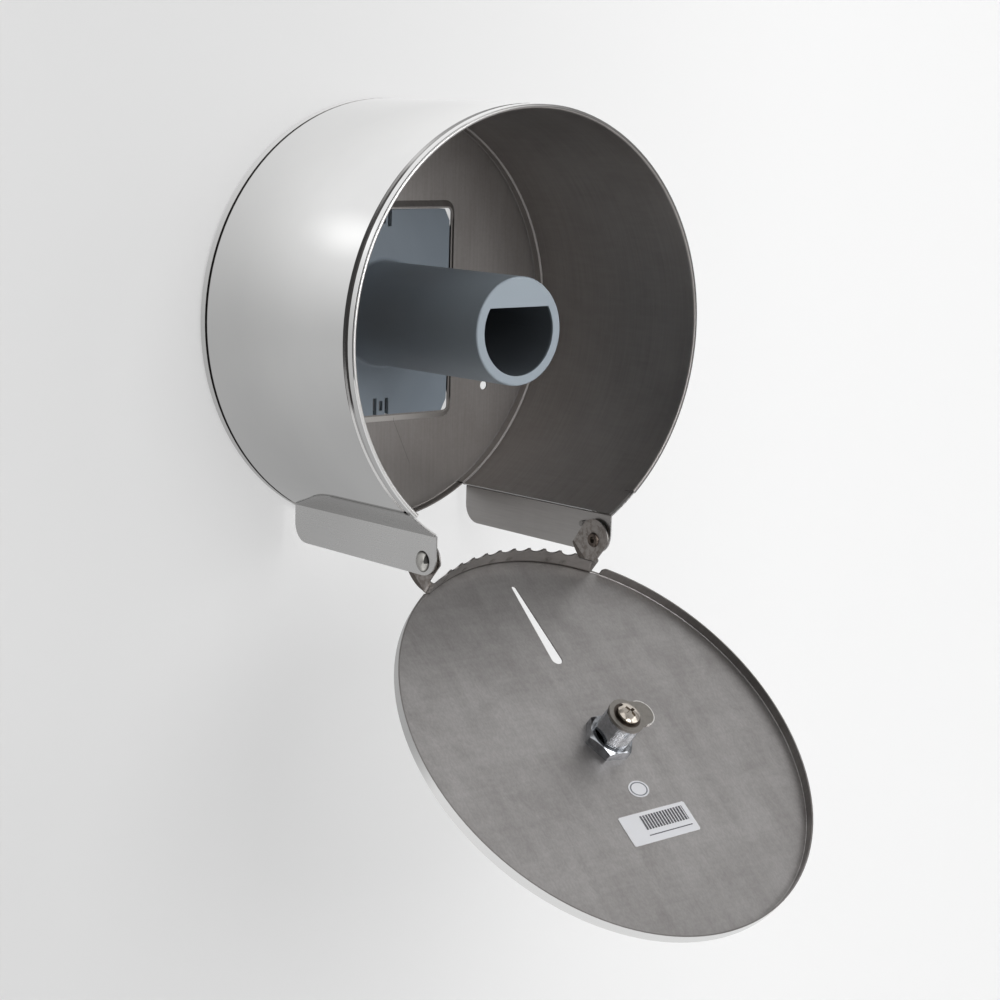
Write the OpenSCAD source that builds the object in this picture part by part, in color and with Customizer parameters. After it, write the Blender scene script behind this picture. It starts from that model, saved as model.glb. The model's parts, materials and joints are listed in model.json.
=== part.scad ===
// Round steel dispenser for mini-jumbo toilet rolls, with its hinged front cover hanging open.
// Origin on the drum's axis at the wall, +Y into the wall, +Z up, +X to the right.
// Depths are measured forward from the wall, so a depth d lies at y = -d.

/* [Drum] */
// Outer radius of the drum
drum_r = 114; // [106:1:140]
// Depth of the drum, from the wall to the front of its rim
drum_depth = 130.2; // [115:0.1:160]
// Thickness of the sheet that the drum and cover are made of
sheet = 0.8; // [0.6:0.05:1]
// Half angle of the paper gap at the bottom
mouth_angle = 30.8; // [28:0.1:33]
// Depth over which the drum's back edge is stepped in under the back plate's skirt
back_step = 6.7; // [5.5:0.1:10]
// Depth of the folded hem at the front rim
hem_depth = 4.5; // [3:0.1:6]
// Gap inside the hem, between the wall and the leaf that is folded back
hem_gap = 0.8; // [0.4:0.1:1.2]
// Width of the groove behind the hem
groove_width = 3.2; // [2:0.1:5]
// Extra angle on each side of the paper gap over which the rim is trimmed off
rim_trim_angle = 9.2; // [8:0.1:12]
// Depth by which the trimmed wall stays behind the rim's front
trim_setback = 3.2; // [2:0.1:5]

/* [Back plate] */
// Height of the back plate's skirt
skirt_depth = 5.1; // [4:0.1:5.5]
// Outer radius of the bend between disc and skirt
pan_bend = 1.8; // [1.2:0.1:2.2]
// Width of the window for the core holder
window_w = 95.6; // [80:0.1:110]
// Height of the window for the core holder
window_h = 111; // [96:0.1:124]
// Corner radius of the window
window_corner = 2.4; // [2:0.1:6]
// Height of the raised margin round the window
margin_rise = 2.4; // [1.6:0.1:3]
// Width of the flat of the raised margin
margin_flat = 0.9; // [0.6:0.1:3]
// Width of the slope round that flat
margin_slope = 3.2; // [3:0.1:7]
// Diameter of the circle that the wall-fixing holes lie on
fix_circle = 175; // [150:1:190]
// Number of wall-fixing holes, the first of them at the top
fix_count = 3; // [2:1:6]
// Diameter of a wall-fixing hole
fix_hole = 5; // [4:0.1:8]

/* [Core holder] */
// Outer diameter of the spindle tube, for rolls with a 57 to 60 mm core
core_d = 55.5; // [45:0.5:57]
// Wall thickness of the spindle tube
core_wall = 5; // [3:0.1:6]
// Distance of the spindle's front behind the drum's rim
core_setback = 12.3; // [10:0.1:16]
// Height of the D opening's flat edge above the axis
web_edge = 12.2; // [11.5:0.1:15]
// Thickness of the web above the D opening
web_wall = 3; // [2:0.1:4]
// Height of the rib along the web's edge that the lock's cam catches
web_rib = 3; // [2:0.1:4]
// Height of the holder's plate above the wall
holder_rise = 5; // [4.2:0.1:7]
// Wall thickness of the holder's plate
holder_wall = 2.2; // [1.6:0.1:2.6]
// Gap between the holder's plate and the window, left and right
holder_side_gap = 2.6; // [0.5:0.1:4]
// Gap between the holder's plate and the window, above and below
holder_end_gap = 0.3; // [0.2:0.1:0.8]
// How far the cut-off corners of the plate reach across
holder_cut_across = 3.4; // [0.5:0.1:5]
// How far the cut-off corners of the plate reach down
holder_cut_down = 6.4; // [0.5:0.1:10]
// Radius of the fillet between the tube and the plate
core_fillet = 3; // [1:0.1:5]
// Radius round the tube's front edge
core_round = 1; // [0.4:0.1:1.5]
// Width of the slots that free the snap tongues
slot_w = 2.4; // [1.6:0.1:3]
// Distance between neighbouring slots
slot_pitch = 4; // [3.4:0.1:6]
// Length of the outer slots
slot_len = 9; // [7:0.1:14]

/* [Hinge] */
// Thickness of the hinge brackets
bracket_sheet = 0.8; // [0.6:0.05:1]
// Width of the bracket's flange that lies on the drum
flange_w = 21.2; // [16:0.1:26]
// Distance of the bracket's rear end from the wall
bracket_rear = 9.3; // [7.5:0.1:20]
// Distance that the flange reaches in front of the trimmed wall
flange_reach = 0.6; // [0.2:0.1:1.2]
// Radius of the bracket's rear lower corner
heel_r = 10; // [4:0.5:14]
// Radius of the bracket's nose in front of the hinge pin
nose_r = 10.4; // [9:0.1:11]
// Distance of the bracket's lower edge below the hinge pin
bracket_below = 7; // [6.6:0.1:9]
// How much lower the bracket stands at its rear than at its nose
bracket_taper = 1.2; // [0:0.1:3]
// Distance of the hinge pin behind the rim's front
hinge_setback = 12.8; // [12.4:0.1:14]
// Distance of the hinge pin below the flange's bend
hinge_drop = 13.5; // [12.6:0.1:16]
// Radius of the hinge pins
pin_r = 2.5; // [2:0.1:3]
// Radius of the rivets' outer heads
rivet_head_r = 5.4; // [4.5:0.1:6]
// Height of the rivets' outer heads
rivet_head_h = 2.4; // [1.5:0.1:3]
// Radius of the washers between bracket and ear
washer_r = 6.5; // [5:0.1:8]
// Thickness of the washers between bracket and ear
washer_t = 1.3; // [0.8:0.1:1.6]
// Radius of the rounded end of each ear about the pin
ear_r = 11; // [10:0.1:11.5]
// Bulge of the ears' front edge ahead of the cover's inner face
ear_bulge = 2; // [1:0.1:3]
// Radius of the stop studs inside the brackets
stud_r = 1.5; // [1:0.1:2.4]
// How far the cover opens
open_angle = 131.7; // [100:0.1:140]

/* [Cover] */
// Gap between the rim and the closed cover
cover_gap = 0.4; // [0.2:0.1:1]
// Clearance between the cover's skirt and the bracket flanges
cover_clear = 0.3; // [0.2:0.05:1]
// Depth of the cover's skirt inside the pan
cover_skirt = 5; // [4:0.1:6]
// Radius inside the bend between the cover's disc and skirt
cover_bend = 0.4; // [0.2:0.1:1]
// Radius of the skirt's corners where it is cut away for the hinge
skirt_corner = 3; // [1:0.1:4]
// Distance of the sight slot's outer end from the axis
slot_outer = 99; // [80:0.5:103]
// Distance of the sight slot's inner end from the axis
slot_inner = 48.5; // [30:0.5:70]
// Width of the sight slot at its outer end
slot_narrow = 2.8; // [2:0.1:5]
// Width of the sight slot at its inner end
slot_wide = 6.6; // [5.5:0.1:9]

/* [Tear strip] */
// Height of the teeth above the inside of the cover
strip_h = 10.3; // [9.5:0.1:16]
// Depth of the scallops between the teeth
tooth_h = 2.3; // [1:0.1:3]
// Number of scallops
scallops = 11; // [5:2:13]
// Angle from one scallop to the next
scallop_pitch = 4.8; // [4:0.1:5]
// Radius of a scallop
scallop_r = 4.7; // [4.4:0.1:6]
// Half angle at which the strip's ends bend into the ears
strip_half_angle = 27.6; // [26.8:0.1:28]

/* [Lock] */
// Diameter of the lock's barrel
barrel_d = 19; // [18:0.1:20]
// Distance across the barrel's flats
barrel_flats = 16.2; // [15.5:0.1:17]
// Height of the barrel's end face above the inside of the cover
barrel_h = 18.5; // [15:0.1:20]
// Diameter of the lock's round front flange
lock_head_d = 23; // [22:0.1:26]
// Thickness of the lock's front flange
lock_head_t = 2.5; // [1.5:0.1:3.5]
// Thickness of the gasket under the flange
gasket_t = 0.5; // [0.3:0.1:1]
// Distance across the nut's flats
nut_flats = 23; // [22:0.1:26]
// Thickness of the nut
nut_t = 6; // [4:0.1:8]
// Diameter of the turning plug
plug_d = 12.8; // [12:0.1:13]
// Thickness of the stop washer
stop_t = 1.1; // [0.8:0.1:1.5]
// Angle through which the lock turns
lock_turn = 90; // [60:1:100]
// Thickness of the cam
cam_t = 1.6; // [1.2:0.1:2.5]
// Distance that the cam's tongue reaches from the axis
cam_reach = 16.8; // [16:0.1:20]
// Width of the cam's tongue
cam_w = 14.8; // [10:0.1:16]
// Gap between the locked cam and the web
latch_gap = 0.6; // [0.2:0.1:1.5]
// Diameter of the cam screw's head
screw_head_d = 12; // [10:0.1:13]
// Height of the cam screw's head
screw_head_h = 2.5; // [2:0.1:3]
// Diameter of the cam screw's shank
screw_d = 4.8; // [4:0.1:5]
// Length of the cam screw's shank below the cam's front
screw_len = 8.6; // [6:0.1:9]
// Thickness of the spring washer under the screw's head
cam_washer_t = 1.3; // [0.6:0.1:1.6]

/* [Labels] */
// Width of the blank label
label_w = 45; // [30:1:60]
// Height of the blank label
label_h = 17; // [10:0.5:24]
// Radius of the blank label's corners
label_corner = 1.2; // [0.5:0.1:4]
// Distance of the blank label's centre from the axis
label_place = 50.5; // [40:0.1:70]
// Width of the blank oval sticker
sticker_w = 12.6; // [8:0.1:16]
// Height of the blank oval sticker
sticker_h = 9.6; // [6:0.1:12]
// Distance of the oval sticker's centre from the axis
sticker_place = 29.6; // [24:0.1:33]
// Thickness of both
paper_t = 0.2; // [0.1:0.05:0.3]

/* [Hidden] */

$fn = 64;
drum_fn = 180;        // segments of the large circles
lap_gap = 0.05;       // between sheets that are welded or crimped together
run_gap = 0.05;       // radial clearance of everything that turns
touch_gap = 0.05;     // between a stop and what rests on it
hole_gap = 0.1;       // round a part that stands still in a hole
weld = 0.03;          // how far joined shapes of one sheet sink into each other
cut = 1;              // how far a cutter passes the face that it cuts

// Drum
drum_in = drum_r - sheet;
step_r = drum_in - lap_gap;            // outer radius where the back edge is stepped in
drum_back = pan_bend + 0.1;            // the drum's back edge stays off the pan's bend
hem_back = drum_depth - hem_depth;
groove_back = hem_back - groove_width;
hem_r = sheet + hem_gap / 2;           // outer radius of the fold at the rim
trim_front = drum_depth - trim_setback;

// Hinge brackets: each is bent where its flange meets the edge of the paper gap
flange_in = drum_r + lap_gap;
flange_out = flange_in + bracket_sheet;
bracket_out = flange_out * sin(mouth_angle);
bracket_in = bracket_out - bracket_sheet;
bend_z = -flange_out * cos(mouth_angle);
flange_angle = flange_w / flange_out * 180 / PI;
flange_front = trim_front + flange_reach;
hinge_d = drum_depth - hinge_setback;
hinge_z = bend_z - hinge_drop;

// Cover
cover_d = drum_depth + cover_gap;      // depth of the cover's inner face when it is closed
cover_in = flange_out + cover_clear;
cover_out = cover_in + sheet;
bracket_low = hinge_z - bracket_below;
ear_out = bracket_in - washer_t - touch_gap;
ear_mid = ear_out - sheet / 2;
ear_in = ear_out - sheet;

// Tear strip: an arc inside the cover's skirt, whose ends turn outward and down into the ears
strip_out = cover_in - lap_gap;
strip_mid = strip_out - sheet / 2;
strip_in = strip_out - sheet;
strip_base = cover_d - cover_bend - touch_gap;
strip_top = cover_d - strip_h;
strip_low = strip_top + tooth_h;
turn_x = strip_mid * sin(strip_half_angle);
turn_r = (ear_mid - turn_x) / (1 + sin(strip_half_angle));
ear_top_z = -strip_mid * cos(strip_half_angle) - turn_r * cos(strip_half_angle);
ear_bottom_z = hinge_z - ear_r;
ear_front = cover_d + ear_bulge;
strip_end = strip_half_angle + weld / strip_mid * 180 / PI;
skirt_gap_in = strip_half_angle - 0.6;                   // half angle of the skirt between the ears
skirt_gap_out = asin((bracket_out + 0.5) / cover_in);    // half angle at which the skirt starts again

// Lock, along its own axis from the inside of the cover
lock_back = -(sheet + gasket_t);
lock_front = lock_back - lock_head_t;
lock_edge = 0.8;                        // bevel round the front flange
barrel_r = barrel_d / 2;
plug_r = plug_d / 2;
collar_in = plug_r + 0.7;               // inside of the collar round the stop washer
collar_end = barrel_h + stop_t + hole_gap;
tab_r = barrel_r - 0.2;                 // reach of the stop washer's tab
tab_half = 12;                          // half angle of that tab
cam_base = collar_end + 0.2;
cam_top = cam_base + cam_t;
cam_corner = cam_w / 2 - 0.4;           // radius of the corners of the cam's tongue
tail_r = 4.6;                           // end of the plug, with flats that drive the cam
tail_flats = 7;
screw_tip = cam_top - screw_len;
screw_room = 0.5;                       // depth of the screw's hole beyond its tip

// Wafers: the last one stays clear of the screw's hole
keyway = [1.7, 7.6];
wafer_count = 5;
wafer_t = 1;
wafer_w = 4.8;
wafer_play = 0.1;
wafer_window = [2, 7.2];
wafer_first = 0.4;
wafer_last = screw_tip - screw_room - 0.4 - wafer_play - wafer_t;
wafer_pitch = (wafer_last - wafer_first) / (wafer_count - 1);
wafer_groove = [wafer_w + 0.4, plug_d + 1.6, wafer_count * wafer_pitch];
shoulder_w = 1.6;                       // shoulder of each wafer, which its spring pushes on
shoulder_h = 1.4;
spring_r = 0.55;
spring_wall = 0.25;
spring_len = 4.1;
spring_room = 0.1;                      // extra room round the spring in its pocket

// Core holder: the web's rib ends just in front of the locked cam
core_r = core_d / 2;
core_bore = core_r - core_wall;
core_front = drum_depth - core_setback;
rib_back = cover_d - cam_base + latch_gap;
holder_w = window_w - 2 * holder_side_gap;
holder_h = window_h - 2 * holder_end_gap;
tongue_bridge = 1.6;                    // by how much the middle slot is shorter
nib_reach = holder_end_gap + 0.8;       // of the nibs behind the raised margin
nib_gap = 0.3;

// Places of the label and the sticker to the right of the middle, and the label's lean
label_side = 1.9;
label_lean = 2;
sticker_side = 2;

STEEL = [0.80, 0.80, 0.79];
INNER_STEEL = [0.55, 0.54, 0.52];
PLASTIC = [0.42, 0.47, 0.52];
CHROME = [0.85, 0.85, 0.87];
NICKEL = [0.76, 0.72, 0.66];
RUBBER = [0.12, 0.12, 0.12];
BRASS = [0.72, 0.58, 0.32];
PAPER = [0.95, 0.95, 0.94];

// ---- frames of reference ----

// Children use x, the height z as their y, and the depth from the wall as their z
module on_axis() rotate([90, 0, 0]) children();

// Turns the closed cover about the hinge to where it hangs
module opened() translate([0, -hinge_d, hinge_z]) rotate([open_angle, 0, 0])
    translate([0, hinge_d, -hinge_z]) children();

// Children use x, their y down across the cover, and their z inward from the cover's inner face
module on_cover() opened() on_axis() translate([0, 0, cover_d]) rotate([180, 0, 0]) children();

// Sweeps a (radius, depth) outline between two angles from the bottom, positive to the right
module swept(from, to) rotate([0, 0, 270 + from]) rotate_extrude(angle = to - from, $fn = drum_fn)
    children();

// Extrudes a (depth, height) outline over a thickness that ends at x
module upright(x, t) translate([x, 0, 0]) rotate([0, -90, 0]) linear_extrude(t) children();

module both_sides() { children(); mirror([1, 0, 0]) children(); }

function arc(c, r, from, to, steps = 8) =
    [for (i = [0 : steps]) let (a = from + (to - from) * i / steps) c + r * [cos(a), sin(a)]];

// ---- housing ----

module pan_outline() polygon(concat(
    [[0, 0]], arc([drum_r - pan_bend, pan_bend], pan_bend, -90, 0),
    [[drum_r, skirt_depth], [drum_in, skirt_depth]],
    arc([drum_r - pan_bend, pan_bend], pan_bend - sheet, 0, -90), [[0, sheet]]));

// Section of the raised margin, outward from the window's edge
module margin_outline() {
    under = margin_flat - 0.25 * sheet;
    foot = margin_flat + margin_slope;
    polygon([[0, margin_rise], [under, margin_rise], [under + margin_slope, 0],
             [foot + 1, 0], [foot + 1, sheet], [foot, sheet], [margin_flat, margin_rise + sheet],
             [0, margin_rise + sheet]]);
}

module window_margin() {
    across = window_w / 2 - window_corner;
    up = window_h / 2 - window_corner;
    for (side = [[0, across, up], [90, up, across], [180, across, up], [270, up, across]])
        rotate([0, 0, side[0]]) {
            translate([side[1] + window_corner, side[2], 0]) rotate([90, 0, 0])
                linear_extrude(2 * side[2]) margin_outline();
            translate([side[1], side[2], 0]) rotate_extrude(angle = 90)
                translate([window_corner, 0]) margin_outline();
        }
}

module rounded_rect(w, h, r) {
    square([w - 2 * r, h], center = true);
    square([w, h - 2 * r], center = true);
    for (x = [-1, 1], y = [-1, 1]) translate([x * (w / 2 - r), y * (h / 2 - r)]) circle(r);
}

module back_plate() color(INNER_STEEL) on_axis() {
    grown = 2 * (margin_flat + margin_slope);
    difference() {
        rotate_extrude($fn = drum_fn) pan_outline();
        translate([0, 0, -cut]) linear_extrude(sheet + 2 * cut)
            rounded_rect(window_w + grown, window_h + grown, window_corner + grown / 2);
        for (i = [1 : fix_count]) rotate([0, 0, 90 + 360 * i / fix_count])
            translate([fix_circle / 2, 0, -cut]) cylinder(d = fix_hole, h = sheet + 2 * cut);
    }
    window_margin();
}

// Outline of the drum's sheet: stepped in at the back, grooved and folded back at the front
module drum_outline() {
    fold = [drum_r - hem_r, drum_depth - hem_r];
    leaf_in = drum_r - 2 * hem_r;
    leaf_back = hem_back + sheet;
    polygon(concat(
        [[step_r - sheet, drum_back], [step_r, drum_back], [step_r, back_step - sheet],
         [drum_r, back_step], [drum_r, groove_back], [drum_in, groove_back + sheet],
         [drum_in, hem_back], [drum_r, hem_back]],
        arc(fold, hem_r, 0, 180),
        [[leaf_in, leaf_back], [leaf_in + sheet, leaf_back]],
        arc(fold, hem_gap / 2, 180, 0),
        [[drum_in, hem_back + sheet], [drum_in - sheet, hem_back],
         [drum_in - sheet, groove_back + 0.6 * sheet], [drum_in, groove_back - 0.4 * sheet],
         [drum_in, back_step + 0.4 * sheet], [step_r - sheet, back_step - 0.6 * sheet]]));
}

// Beside the paper gap the rim is trimmed off; this part starts inside the rest of the sheet
module trimmed_outline() {
    out = drum_r - weld;
    in = drum_in + weld;
    step_out = step_r - weld;
    step_in = step_r - sheet + weld;
    polygon([[step_in, drum_back + weld], [step_out, drum_back + weld],
             [step_out, back_step - sheet], [out, back_step], [out, trim_front],
             [in, trim_front], [in, back_step + 0.4 * sheet], [step_in, back_step - 0.6 * sheet]]);
}

module drum_shell() color(STEEL) on_axis() {
    trim_end = mouth_angle + rim_trim_angle;
    swept(trim_end, 360 - trim_end) drum_outline();
    both_sides() swept(mouth_angle, trim_end + 0.1) trimmed_outline();
}

// Upright part of a bracket: a rounded heel, a slightly sloping lower edge and a round nose
module bracket_outline() polygon(concat(
    [[bracket_rear, bend_z + bracket_sheet]],
    arc([bracket_rear + heel_r, bracket_low + bracket_taper + heel_r], heel_r, 180, 270),
    arc([hinge_d, bracket_low + nose_r], nose_r, 270, 360),
    [[hinge_d + nose_r, bend_z + bracket_sheet]]));

// Seen along the drum's radius: straight front, and a rear corner that slopes up and rounds over
module flange_outline() {
    slope = 26;
    round_r = 50;
    edge = flange_w / 2;
    corner = bracket_rear + flange_w / tan(slope);
    tangent = round_r * tan(slope / 2);
    polygon(concat(
        [[bracket_rear, -edge - 2], [bracket_rear, -edge]],
        arc([corner + tangent, edge - round_r], round_r, 90 + slope, 90),
        [[corner + tangent, edge + 1], [flange_front, edge + 1], [flange_front, -edge - 2]]));
}

module bracket() on_axis() {
    difference() {
        upright(bracket_out, bracket_sheet) bracket_outline();
        translate([0, 0, -cut]) cylinder(r = flange_in, h = drum_depth + 2 * cut, $fn = drum_fn);
        translate([bracket_in - cut, hinge_z, hinge_d]) rotate([0, 90, 0])
            cylinder(r = pin_r + run_gap, h = bracket_sheet + 2 * cut);
    }
    intersection() {
        swept(mouth_angle - 2, mouth_angle + flange_angle)
            translate([flange_in, bracket_rear])
                square([bracket_sheet, flange_front - bracket_rear]);
        rotate([0, 0, mouth_angle + flange_angle / 2]) rotate([90, 0, 0])
            translate([0, 0, flange_in - 10]) rotate([0, 0, 90]) mirror([0, 1, 0])
                linear_extrude(20) flange_outline();
        translate([bracket_in, -2 * drum_r, 0]) cube([2 * drum_r, 2 * drum_r, 2 * drum_depth]);
    }
}

module bracket_right() color(STEEL) bracket();
module bracket_left() color(STEEL) mirror([1, 0, 0]) bracket();

// Outline of the holder's plate, with its corners cut off
module holder_outline(inset) {
    w = holder_w / 2 - inset;
    h = holder_h / 2 - inset;
    across = w - holder_cut_across;
    up = h - holder_cut_down;
    polygon([[w, up], [across, h], [-across, h], [-w, up],
             [-w, -up], [-across, -h], [across, -h], [w, -up]]);
}

module core_tube() rotate_extrude($fn = drum_fn) polygon(concat(
    [[core_bore, 0], [core_r, 0]],
    arc([core_r + core_fillet, holder_rise + core_fillet], core_fillet, -90, -180),
    arc([core_r - core_round, core_front - core_round], core_round, 0, 90),
    [[core_bore, core_front]]));

module snap_slots() for (up = [-1, 1]) {
    for (x = [-1, 1]) translate([x * slot_pitch - slot_w / 2, up > 0 ? holder_h / 2 - slot_len
        : -holder_h / 2 - cut, -cut]) cube([slot_w, slot_len + cut, holder_rise + 2 * cut]);
    translate([-slot_w / 2, up > 0 ? holder_h / 2 - slot_len + tongue_bridge
        : -holder_h / 2 + holder_wall, -cut])
        cube([slot_w, slot_len - tongue_bridge - holder_wall, holder_rise + 2 * cut]);
}

// Nibs on the snap tongues, behind the raised margin
module snap_nibs() for (up = [-1, 1])
    translate([-(slot_pitch - slot_w / 2), up > 0 ? holder_h / 2 - holder_wall
        : -holder_h / 2 - nib_reach, nib_gap])
        cube([2 * slot_pitch - slot_w, holder_wall + nib_reach, margin_rise - 2 * nib_gap]);

module core_holder() color(PLASTIC) on_axis() {
    difference() {
        union() {
            linear_extrude(holder_rise) holder_outline(0);
            core_tube();
        }
        difference() {
            translate([0, 0, -cut]) linear_extrude(holder_rise - holder_wall + cut)
                holder_outline(holder_wall);
            cylinder(r = core_r, h = holder_rise, $fn = drum_fn);
        }
        translate([0, 0, -cut]) cylinder(r = core_bore, h = core_front + 2 * cut, $fn = drum_fn);
        snap_slots();
    }
    snap_nibs();
    translate([0, 0, core_front - web_wall]) linear_extrude(web_wall) above_web(core_r);
    translate([0, 0, rib_back]) linear_extrude(core_front - rib_back) above_web(web_rib);
}

// Web that closes the tube above the D opening, up to a height above its edge
module above_web(h) intersection() {
    circle((core_bore + core_r) / 2, $fn = drum_fn);
    translate([-core_r, web_edge]) square([core_d, h]);
}

// ---- hinge fittings ----

// Part of a ball that stands on a plane, with a tiny flat on top
module dome(r, h) {
    ball = (r * r + h * h) / (2 * h);
    intersection() {
        translate([0, 0, h - ball]) sphere(ball);
        cylinder(r = r + cut, h = h - 0.01);
    }
}

// Children stand on the hinge line with their z along +X
module at_hinge() translate([0, -hinge_d, hinge_z]) rotate([0, 90, 0]) children();

// Rivets with a domed head outside the bracket and a hollow end that is spread over the ear
module hinge_rivets() color(CHROME) both_sides() at_hinge() {
    spread = 1;
    tail = ear_in - touch_gap - spread;
    translate([0, 0, bracket_out]) dome(rivet_head_r, rivet_head_h);
    difference() {
        union() {
            translate([0, 0, tail + 0.1]) cylinder(r = pin_r, h = bracket_out - tail);
            translate([0, 0, tail]) cylinder(r1 = pin_r + 0.9, r2 = pin_r + 1.5, h = spread);
        }
        translate([0, 0, tail - cut]) cylinder(r = pin_r - 0.8, h = 1.6 * spread + cut);
    }
}

module hinge_washers() color(PAPER) both_sides() at_hinge()
    translate([0, 0, bracket_in - washer_t]) difference() {
        cylinder(r = washer_r, h = washer_t);
        translate([0, 0, -cut]) cylinder(r = pin_r + run_gap, h = washer_t + 2 * cut);
    }

// A stud inside each bracket, which the straight lower edge of the opened ear rests on
module stop_studs() color(CHROME) both_sides() opened()
    translate([bracket_in, -hinge_d - stud_r, hinge_z - ear_r - stud_r - touch_gap])
        rotate([0, -90, 0]) cylinder(r = stud_r, h = bracket_in - ear_in);

// ---- cover ----

module cover_outline() polygon(concat(
    [[0, cover_d]], arc([cover_in - cover_bend, cover_d - cover_bend], cover_bend, 90, 0),
    [[cover_in, cover_d - cover_skirt], [cover_out, cover_d - cover_skirt]],
    arc([cover_in - cover_bend, cover_d - cover_bend], cover_bend + sheet, 0, 90),
    [[0, cover_d + sheet]]));

module sight_slot() {
    length = slot_outer - slot_inner;
    n = slot_narrow / 2;
    w = slot_wide / 2;
    lean = asin((w - n) / (length - n - w));
    translate([0, -slot_outer + n]) circle(1.01 * n);
    translate([0, -slot_inner - w]) circle(1.01 * w);
    polygon([for (s = [-1, 1]) each (s < 0
        ? [[-n * cos(lean), -slot_outer + n - n * sin(lean)],
           [-w * cos(lean), -slot_inner - w - w * sin(lean)]]
        : [[w * cos(lean), -slot_inner - w - w * sin(lean)],
           [n * cos(lean), -slot_outer + n - n * sin(lean)]])]);
}

module barrel_section(gap) intersection() {
    circle(barrel_r + gap);
    square([barrel_flats + 2 * gap, 2 * barrel_d], center = true);
}

// The skirt is cut away where the ears and the brackets pass it, and rounded beyond
module skirt_gap() {
    edge = cover_d - cover_skirt;
    translate([0, 0, -cover_bend]) swept(skirt_gap_in, skirt_gap_out)
        translate([cover_in - cover_bend, edge - cut])
            square([sheet + cover_bend + cut, cover_skirt + cut]);
    rotate([0, 0, 270 + skirt_gap_out]) translate([cover_in - cut, 0, edge])
        rotate([0, 90, 0]) mirror([1, 0, 0]) linear_extrude(sheet + 2 * cut) difference() {
            translate([-cut, -cut]) square(skirt_corner + cut);
            translate([skirt_corner, skirt_corner]) circle(1.04 * skirt_corner);
        }
}

module cover_pan() color(INNER_STEEL) opened() on_axis() difference() {
    rotate_extrude($fn = drum_fn) cover_outline();
    both_sides() skirt_gap();
    translate([0, 0, cover_d - cut]) linear_extrude(sheet + 2 * cut) {
        sight_slot();
        barrel_section(hole_gap);
    }
}

// Ear in depth and height: round about the pin, straight on top, bulging in front
module ear_outline() {
    bulge_r = 22;
    centre_z = (ear_top_z + ear_bottom_z) / 2;
    rise = asin((ear_top_z - centre_z) / bulge_r);
    difference() {
        union() {
            translate([hinge_d, hinge_z]) circle(ear_r);
            polygon(concat(
                [[hinge_d, ear_bottom_z]],
                arc([ear_front - bulge_r, centre_z], bulge_r, -rise + 3, rise),
                [[strip_base, ear_top_z + weld], [hinge_d, ear_top_z + weld]]));
        }
        translate([0, ear_top_z + weld]) square([2 * drum_depth, 2 * ear_r]);
        translate([hinge_d, hinge_z]) circle(pin_r + run_gap);
    }
}

// The strip's end turns outward on a small radius until it points down
module strip_turn() translate([turn_x + turn_r * sin(strip_half_angle), ear_top_z, 0])
    rotate_extrude(angle = 90 + strip_half_angle)
        translate([turn_r - sheet / 2 - weld, strip_low])
            square([sheet + 2 * weld, strip_base - strip_low]);

module scallop(angle) rotate([0, 0, 270 + angle])
    translate([strip_in - cut, 0, strip_low - scallop_r]) rotate([0, 90, 0])
        cylinder(r = scallop_r, h = sheet + 2 * cut);

module tear_strip() color(INNER_STEEL) opened() on_axis() {
    difference() {
        swept(-strip_end, strip_end)
            translate([strip_in, strip_top]) square([sheet, strip_base - strip_top]);
        for (i = [0 : scallops - 1]) scallop((i - (scallops - 1) / 2) * scallop_pitch);
        both_sides() end_step();
    }
    both_sides() {
        strip_turn();
        upright(ear_out, sheet) ear_outline();
    }
}

// Beyond the last scallop the strip stays at the scallops' floor
module end_step() swept((scallops - 1) / 2 * scallop_pitch, strip_half_angle + 1)
    translate([strip_in - cut, strip_top - cut]) square([sheet + 2 * cut, strip_low - strip_top + cut]);

// ---- lock ----

// The end of the barrel is a collar that is open where the stop washer's tab swings
module tab_way() translate([0, 0, barrel_h]) {
    cylinder(r = collar_in, h = collar_end - barrel_h + cut);
    rotate([0, 0, 180 - lock_turn - tab_half - 1])
        rotate_extrude(angle = lock_turn + 2 * tab_half + 2)
            translate([collar_in - 1, 0]) square([barrel_r - collar_in + 2, collar_end - barrel_h + cut]);
}

module lock_housing() color(CHROME) on_cover() difference() {
    union() {
        translate([0, 0, lock_front])
            cylinder(d1 = lock_head_d - 2 * lock_edge, d2 = lock_head_d, h = lock_edge);
        translate([0, 0, lock_front + lock_edge])
            cylinder(d = lock_head_d, h = lock_head_t - lock_edge);
        translate([0, 0, lock_back - 0.5]) linear_extrude(collar_end - lock_back + 0.5)
            barrel_section(0);
    }
    translate([0, 0, lock_front - cut])
        cylinder(r = plug_r + run_gap, h = collar_end - lock_front + 2 * cut);
    tab_way();
    // Grooves that the wafers spring into when the key is out
    for (a = [0, 90]) rotate([0, 0, a])
        translate([-wafer_groove[0] / 2, -wafer_groove[1] / 2, wafer_first - 0.3])
            cube(wafer_groove);
}

module lock_gasket() color(RUBBER) on_cover() translate([0, 0, lock_back])
    linear_extrude(gasket_t) difference() {
        circle(d = lock_head_d - 1);
        barrel_section(hole_gap);
    }

// Hexagon with its top corners turned off at 30 degrees
module lock_nut() color(CHROME) on_cover() difference() {
    from = nut_flats / 2 - 0.3;
    to = from + 4;
    rotate([0, 0, -5]) cylinder(d = nut_flats / cos(30), h = nut_t, $fn = 6);
    translate([0, 0, nut_t]) rotate_extrude()
        polygon([[from, 0], [to, (from - to) * tan(30)], [to, cut], [from, cut]]);
    translate([0, 0, -cut]) cylinder(r = barrel_r + run_gap, h = nut_t + 2 * cut);
}

module tail_section(gap) intersection() {
    circle(tail_r + gap);
    square([tail_flats + 2 * gap, 4 * tail_r], center = true);
}

function wafer_z(i) = wafer_first + i * wafer_pitch;

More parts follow.
